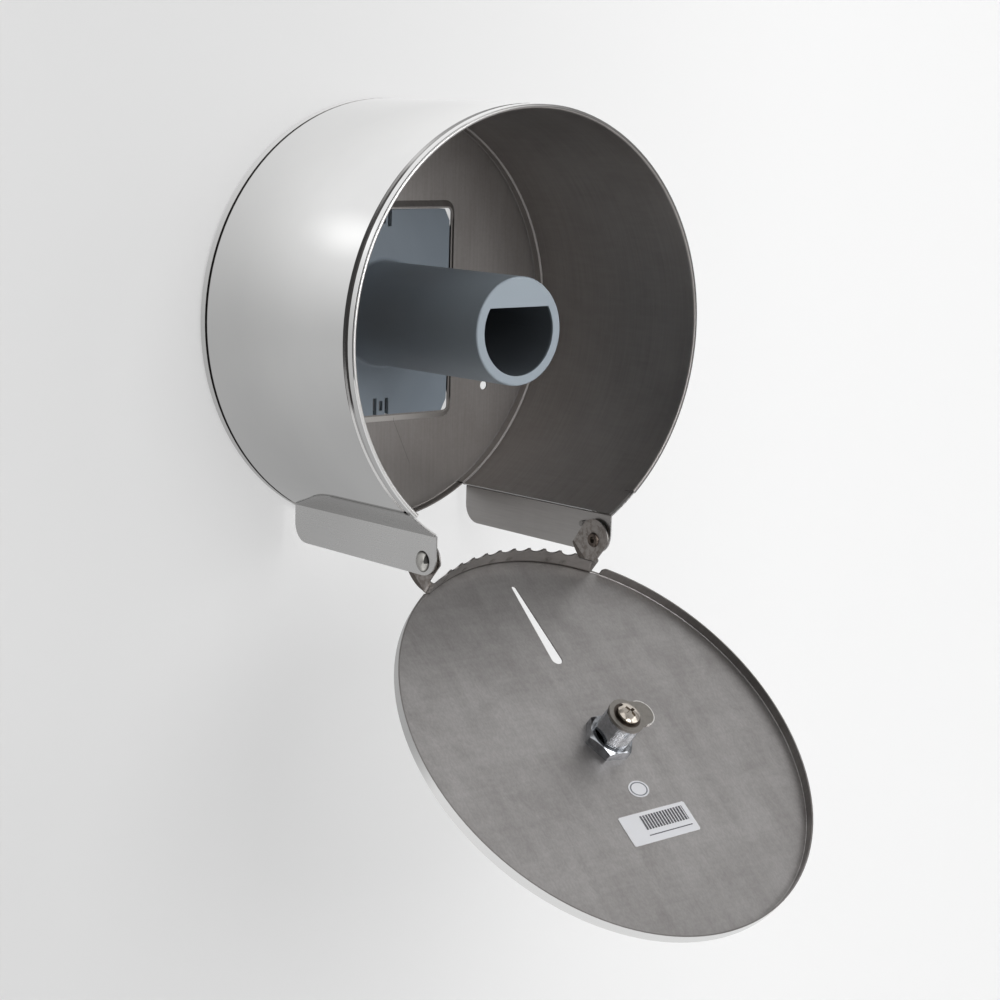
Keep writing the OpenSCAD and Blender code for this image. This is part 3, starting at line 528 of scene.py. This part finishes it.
def printed_label():
    """White label with plain even bars and a rule line that stand for nothing."""
    finish = Finish("printed_label", Metallic=0.0)
    place = COVER_FRAME @ Matrix.Translation((*LABEL_CENTRE, 0)) @ Matrix.Rotation(LABEL_TURN, 4, "Z")
    x, y, _ = finish.xyz(finish.place(place))
    bar_pitch = 1.9 * MM
    left, right, low, high = -10 * MM, 19.5 * MM, -1.5 * MM, 6.5 * MM
    rule_y = -4.6 * MM
    edge = 0.1 * MM
    bars = (x / bar_pitch).math("FRACT").upto(0.7, 0.06)
    across = x.step(left - edge, left) * x.upto(right, edge)
    block = y.step(low - edge, low) * y.upto(high, edge)
    rule = abs(y - rule_y).upto(0.25 * MM, edge)
    ink = across * (bars * block).math("MAXIMUM", rule)
    wear_and_edge_shade = finish.noise(finish.place(), 1800, detail=2).step(0.3, 0.6, 0.75, 1)
    finish.set("Base Color", finish.mix(ink * wear_and_edge_shade, PAPER_WHITE, (0.035, 0.035, 0.045)))
    finish.set("Roughness", 0.38 + ink * 0.1)
    return finish


def ringed_sticker():
    """White oval sticker with one grey ring just inside its edge."""
    finish = Finish("ringed_sticker", Metallic=0.0)
    x, y, _ = finish.xyz(finish.place(COVER_FRAME @ Matrix.Translation((*STICKER_CENTRE, 0))))
    reach = length(x / STICKER_HALF[0], y / STICKER_HALF[1])
    ring = abs(reach - STICKER_RING).upto(0.05, 0.03)
    finish.set("Base Color", finish.mix(ring, PAPER_WHITE, (0.16, 0.17, 0.19)))
    finish.set("Roughness", 0.4)
    return finish


# ---- fine pieces from Geometry Nodes ----


def grow(name, tree, values, material):
    """Runs a Geometry Nodes tree with its named inputs and returns the result as a plain mesh object."""
    holder = bpy.data.objects.new(name + "_source", bpy.data.meshes.new(name + "_source"))
    bpy.context.collection.objects.link(holder)
    modifier = holder.modifiers.new(name, "NODES")
    modifier.node_group = tree
    identifiers = {item.name: item.identifier for item in tree.interface.items_tree
                   if item.item_type == "SOCKET" and item.in_out == "INPUT"}
    for key, value in values.items():
        modifier[identifiers[key]] = value
    modifier[identifiers["Finish"]] = material
    evaluated = holder.evaluated_get(bpy.context.evaluated_depsgraph_get())
    mesh = bpy.data.meshes.new_from_object(evaluated)
    holder.modifiers.remove(modifier)
    bpy.data.objects.remove(holder)
    piece = bpy.data.objects.new(name, mesh)
    mesh.name = name
    bpy.context.collection.objects.link(piece)
    return piece


def new_tree(name, **inputs):
    """A Geometry Nodes tree with those inputs, and a Finish, and its nodes and input values."""
    tree = bpy.data.node_groups.new(name, "GeometryNodeTree")
    tree.interface.new_socket("Geometry", in_out="OUTPUT", socket_type="NodeSocketGeometry")
    for key, (kind, value) in inputs.items():
        socket = tree.interface.new_socket(key, in_out="INPUT", socket_type="NodeSocket" + kind)
        socket.default_value = value
    tree.interface.new_socket("Finish", in_out="INPUT", socket_type="NodeSocketMaterial")
    build = Nodes(tree)
    source = build.add("NodeGroupInput")
    given = {key: build.again(source, key) for key in (*inputs, "Finish")}
    return tree, build, given


def close_tree(build, geometry, finish):
    """Realizes the instances, sets the material and ends the tree."""
    realized = build.add("GeometryNodeRealizeInstances", None, {"Geometry": geometry})
    done = build.add("GeometryNodeSetMaterial", None, {"Geometry": realized, "Material": finish})
    output = build.tree.nodes.new("NodeGroupOutput")
    build.tree.links.new(done.socket, output.inputs[0])


def thread_tree():
    """Low ridges round the barrel's two round sides, one for each turn of the thread."""
    tree, build, given = new_tree("thread", Radius=("Float", BARREL_R), Flat=("Float", BARREL_FLAT),
                                  Pitch=("Float", THREAD_PITCH), Height=("Float", THREAD_HEIGHT),
                                  Turns=("Int", THREAD_TURNS))
    half = (given["Flat"] / given["Radius"]).math("ARCSINE") - THREAD_END_TURN
    arcs = []
    for side in (math.pi / 2, -math.pi / 2):
        arcs.append(build.add("GeometryNodeCurveArc", None, {
            "Resolution": 40, "Radius": given["Radius"], "Start Angle": side - half,
            "Sweep Angle": half * 2}))
    path = build.add("GeometryNodeJoinGeometry", None, {"Geometry": arcs})
    crest = build.add("GeometryNodeCurvePrimitiveCircle", None, {"Resolution": 6, "Radius": given["Height"]})
    ridge = build.add("GeometryNodeCurveToMesh", None,
                      {"Curve": path, "Profile Curve": crest, "Fill Caps": True})
    rise = build.add("ShaderNodeCombineXYZ", None, {"Z": given["Pitch"]})
    turns = build.add("GeometryNodeMeshLine", None, {"Count": given["Turns"], "Offset": rise})
    rings = build.add("GeometryNodeInstanceOnPoints", None, {"Points": turns, "Instance": ridge})
    close_tree(build, rings, given["Finish"])
    return tree


def spring_tree():
    """A row of small coil springs lying across the lock, one beside each wafer."""
    tree, build, given = new_tree("springs", Radius=("Float", SPRING_R), Wire=("Float", SPRING_WIRE),
                                  Length=("Float", SPRING_LENGTH), Coils=("Float", SPRING_COILS),
                                  Count=("Int", WAFERS), Pitch=("Float", WAFER_PITCH))
    coil = build.add("GeometryNodeCurveSpiral", None, {
        "Resolution": 20, "Rotations": given["Coils"], "Start Radius": given["Radius"],
        "End Radius": given["Radius"], "Height": given["Length"]})
    section = build.add("GeometryNodeCurvePrimitiveCircle", None, {"Resolution": 8, "Radius": given["Wire"]})
    wire = build.add("GeometryNodeCurveToMesh", None,
                     {"Curve": coil, "Profile Curve": section, "Fill Caps": True})
    lying = build.add("GeometryNodeTransform", None,
                      {"Geometry": wire, "Rotation": (-math.pi / 2, 0, 0)})
    rise = build.add("ShaderNodeCombineXYZ", None, {"Z": given["Pitch"]})
    row = build.add("GeometryNodeMeshLine", None, {"Count": given["Count"], "Offset": rise})
    springs = build.add("GeometryNodeInstanceOnPoints", None, {"Points": row, "Instance": lying})
    close_tree(build, springs, given["Finish"])
    return tree


def weld_tree():
    """One spot weld: a shallow round cushion, half sunk in the sheet."""
    tree, build, given = new_tree("weld", Radius=("Float", WELD_R), Height=("Float", WELD_HEIGHT))
    disc = build.add("GeometryNodeMeshUVSphere", None,
                     {"Segments": 28, "Rings": 12, "Radius": given["Radius"]})
    flat = build.add("ShaderNodeCombineXYZ", None,
                     {"X": 1.0, "Y": 1.0, "Z": given["Height"] / given["Radius"]})
    cushion = build.add("GeometryNodeTransform", None, {"Geometry": disc, "Scale": flat})
    close_tree(build, cushion, given["Finish"])
    return tree


def settle(piece, place, body):
    """Puts the piece's mesh in its place and lets it ride on its body."""
    piece.data.transform(place)
    piece.data.update()
    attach(piece, body)


def weld_place(angle):
    """A point on the inside of the tear strip, with z along the strip's inward normal."""
    turn = math.radians(angle)
    point = Vector((STRIP_R * math.sin(turn), -STRIP_WELD_DEPTH, -STRIP_R * math.cos(turn)))
    inward = Vector((-math.sin(turn), 0, math.cos(turn)))
    place = Matrix.Translation(point) @ inward.to_track_quat("Z", "Y").to_matrix().to_4x4()
    return OPENED @ place


# ---- finishes on the model ----

drum_steel().give_to("drum_shell")
back_steel().give_to("back_plate")
cover_steel().give_to("cover_pan")
strip = strip_steel()
strip.give_to("tear_strip")
bracket_steel().give_to("bracket_left", "bracket_right")
grey_plastic().give_to("core_holder")
rivet_steel().give_to("hinge_rivets")
bright_metal("stud_metal", (0.46, 0.445, 0.43), 0.35, 0.2).give_to("stop_studs")
zinc = bright_metal("zinc_plate", (0.46, 0.475, 0.50), 0.12, 0.45)
zinc.give_to("lock_nut", "stop_washer")
chrome = bright_metal("lock_chrome", (0.62, 0.635, 0.66), 0.05, 0.3)
chrome.give_to("lock_housing")
cam_nickel().give_to("lock_cam")
bright_metal("washer_bronze", (0.12, 0.10, 0.085), 0.3, 0.3).give_to("cam_washer")
bright_metal("screw_nickel", (0.66, 0.60, 0.53), 0.10, 0.35).give_to("cam_screw")
bright_metal("plug_metal", (0.64, 0.62, 0.58), 0.12, 0.2).give_to("lock_plug")
bright_metal("wafer_brass", (0.62, 0.47, 0.22), 0.2, 0.2).give_to("lock_wafers")
wire = bright_metal("spring_wire", (0.55, 0.55, 0.56), 0.15, 0.1)
wire.give_to("wafer_springs")
plain("gasket_rubber", (0.025, 0.025, 0.026), 0.6, 0.3 * MM, 0.02 * MM).give_to("lock_gasket")
plain("washer_nylon", (0.70, 0.70, 0.67), 0.45, 0.5 * MM, 0.01 * MM).give_to("hinge_washers")
printed_label().give_to("blank_label")
ringed_sticker().give_to("blank_sticker")

thread = grow("barrel_thread", thread_tree(), {"Turns": THREAD_TURNS}, chrome.material)
settle(thread, COVER_FRAME @ Matrix.Translation((0, 0, THREAD_START)), "cover")

springs = grow("coil_springs", spring_tree(), {"Count": WAFERS}, wire.material)
settle(springs, COVER_FRAME @ Matrix.Translation((*SPRING_PLACE, WAFER_FIRST + WAFER_T / 2)),
       "lock")
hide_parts("wafer_springs")

for number, angle in enumerate(STRIP_WELD_ANGLES, 1):
    weld = grow(f"spot_weld_{number}", weld_tree(), {"Radius": WELD_R}, strip.material)
    settle(weld, weld_place(angle), "cover")

# ---- wall, floor and light ----

WALL_SIZE = 6.0             # metres
WALL_BEHIND = 0.4 * MM
FLOOR_BELOW = 1.1           # metres
WALL_COLOUR = (0.86, 0.86, 0.86)
WALL_GLOW = 0.7             # share of the wall's look that doesn't depend on the lamps
WALL_LEVELS = (0.71, 1.0)   # from the left to the right
WALL_LEVELS_AT = (-0.2, 0.36)
POOL_X, POOL_Z = -163 * MM, 113 * MM
POOL_R = 40 * MM


def stage_plane(name, place, material):
    """A square sheet of the stage, moved to its place."""
    half = WALL_SIZE / 2
    mesh = bpy.data.meshes.new(name)
    corners = [(-half, -half, 0), (half, -half, 0), (half, half, 0), (-half, half, 0)]
    mesh.from_pydata(corners, [], [(0, 1, 2, 3)])
    mesh.materials.append(material)
    mesh.transform(place)
    piece = bpy.data.objects.new(name, mesh)
    bpy.context.collection.objects.link(piece)


def wall_paint(one_sided):
    """Matt white paint, evenly lit for the camera; bright above and dim below for the metal.
    It is clear from behind, so that the back of the dispenser shows."""
    finish = Finish("wall_paint" if one_sided else "floor_paint", Roughness=0.9)
    finish.set("Base Color", WALL_COLOUR)
    finish.set("Specular IOR Level", 0.1)
    x, _, z = finish.xyz(finish.place())
    camera_ray = finish.add("ShaderNodeLightPath", out="Is Camera Ray")
    glossy_ray = finish.again(camera_ray, "Is Glossy Ray")
    mirrored = glossy_ray.math("MAXIMUM", finish.again(camera_ray, "Is Transmission Ray"))
    # what the camera sees: a slow change from left to right, and shade behind the core holder
    shade = abs(x).upto(39 * MM, 2 * MM) * abs(z).upto(53 * MM, 2 * MM)
    side_gaps = abs(x).upto(54 * MM, 2 * MM) * abs(z).upto(45 * MM, 2 * MM)
    seen = x.step(*WALL_LEVELS_AT, *WALL_LEVELS) * (1 - shade.math("MAXIMUM", side_gaps))
    # what the metal reflects: levels by height, dimmer close to the drum, and one bright pool
    in_metal = z.step(-0.15, -0.02, 0.45, 0.56) + z.step(-0.02, 0.13, 0, 0.45)
    in_metal = in_metal + z.step(-0.32, -0.2, 0.4, 0)
    reach = length(x, z)
    in_metal = in_metal * reach.step(0.13, 0.19, 0.85, 1) * reach.step(0.105, 0.112, 0.1, 1)
    in_metal = in_metal + length(x - POOL_X, z - POOL_Z).step(0, POOL_R, 0.28, 0)
    glow = finish.add("ShaderNodeEmission", None, {"Strength": seen * camera_ray + in_metal * mirrored})
    paint = Value(finish, finish.shader.outputs[0])
    share = camera_ray * WALL_GLOW + mirrored
    surface = finish.add("ShaderNodeMixShader", None, {0: share, 1: paint, 2: glow})
    if one_sided:
        behind = finish.add("ShaderNodeNewGeometry", out="Backfacing")
        clear = finish.add("ShaderNodeBsdfTransparent")
        surface = finish.add("ShaderNodeMixShader", None, {0: behind, 1: surface, 2: clear})
    output = finish.tree.nodes["Material Output"]
    finish.tree.links.new(surface.socket, output.inputs["Surface"])
    return finish.material


upright = Matrix.Rotation(math.pi / 2, 4, "X")
stage_plane("wall", Matrix.Translation((0, WALL_BEHIND, 0)) @ upright, wall_paint(True))
stage_plane("floor", Matrix.Translation((0, 0, -FLOOR_BELOW)), wall_paint(False))

MIDDLE = Vector((0, -60, -80)) * MM     # of the dispenser, where the lamps point
LAMP_AWAY = 2.05                        # metres
LAMP_SIZE = 1.1
CEILING = Vector((0.6, -0.2, 0.75)).normalized()
FORECOURT = Vector((0, -0.7, -0.7)).normalized()
BACKDROP_WHITE = (0.97, 0.97, 0.97, 1)


def area_lamp(name, direction, power):
    """A square soft box that shines on the dispenser from that direction."""
    data = bpy.data.lights.new(name, "AREA")
    data.shape = "SQUARE"
    data.size = LAMP_SIZE
    data.energy = power
    lamp = bpy.data.objects.new(name, data)
    towards = Vector(direction).normalized()
    lamp.location = MIDDLE + towards * LAMP_AWAY
    lamp.rotation_mode = "QUATERNION"
    lamp.rotation_quaternion = towards.to_track_quat("Z", "Y")
    bpy.context.collection.objects.link(lamp)


area_lamp("front_lamp", (0, -0.95, 0.3), 22)
area_lamp("key_lamp", (0.63, -0.75, 0.21), 6.5)
area_lamp("top_lamp", (-0.2, -0.55, 0.8), 3)


def studio_world():
    """A dim studio, brighter above on the right and below in front, and white for the camera."""
    world = bpy.data.worlds.new("studio")
    world.use_nodes = True
    build = Nodes(world.node_tree)
    background = world.node_tree.nodes["Background"]
    direction = build.add("ShaderNodeTexCoord", out="Generated")
    above = build.add("ShaderNodeVectorMath", {"operation": "DOT_PRODUCT"},
                      {0: direction, 1: CEILING}, out="Value")
    below = build.add("ShaderNodeVectorMath", {"operation": "DOT_PRODUCT"},
                      {0: direction, 1: FORECOURT}, out="Value")
    level = above.step(0.5, 0.94, 0.1, 0.55) + below.step(0.5, 0.94, 0, 0.4)
    camera_ray = build.add("ShaderNodeLightPath", out="Is Camera Ray")
    strength = camera_ray.math("MAXIMUM", level)
    world.node_tree.links.new(strength.socket, background.inputs["Strength"])
    background.inputs["Color"].default_value = BACKDROP_WHITE
    bpy.context.scene.world = world


studio_world()

# ---- camera ----

LENS = 92.34                # millimetres
SENSOR = 36.0
AZIMUTH = math.radians(-40.195)
ELEVATION = math.radians(10.42)
TILT = math.radians(1.925)
DISTANCE = 1.3877           # metres
LOOK_AT = Vector((42.554, -52.630, -100.670)) * MM


def front_left_camera():
    """Looks down from the front left; the dispenser hangs a little out of level, so the camera tilts."""
    data = bpy.data.cameras.new("camera")
    data.lens = LENS
    data.sensor_width = SENSOR
    camera = bpy.data.objects.new("camera", data)
    tilt = Matrix.Rotation(-TILT, 4, "Y")
    turn = Matrix.Rotation(AZIMUTH, 4, "Z") @ Matrix.Rotation(math.pi / 2 - ELEVATION, 4, "X")
    camera.matrix_world = tilt @ Matrix.Translation(LOOK_AT) @ turn @ Matrix.Translation((0, 0, DISTANCE))
    bpy.context.collection.objects.link(camera)
    bpy.context.scene.camera = camera


front_left_camera()
bpy.context.scene.view_settings.view_transform = "Standard"
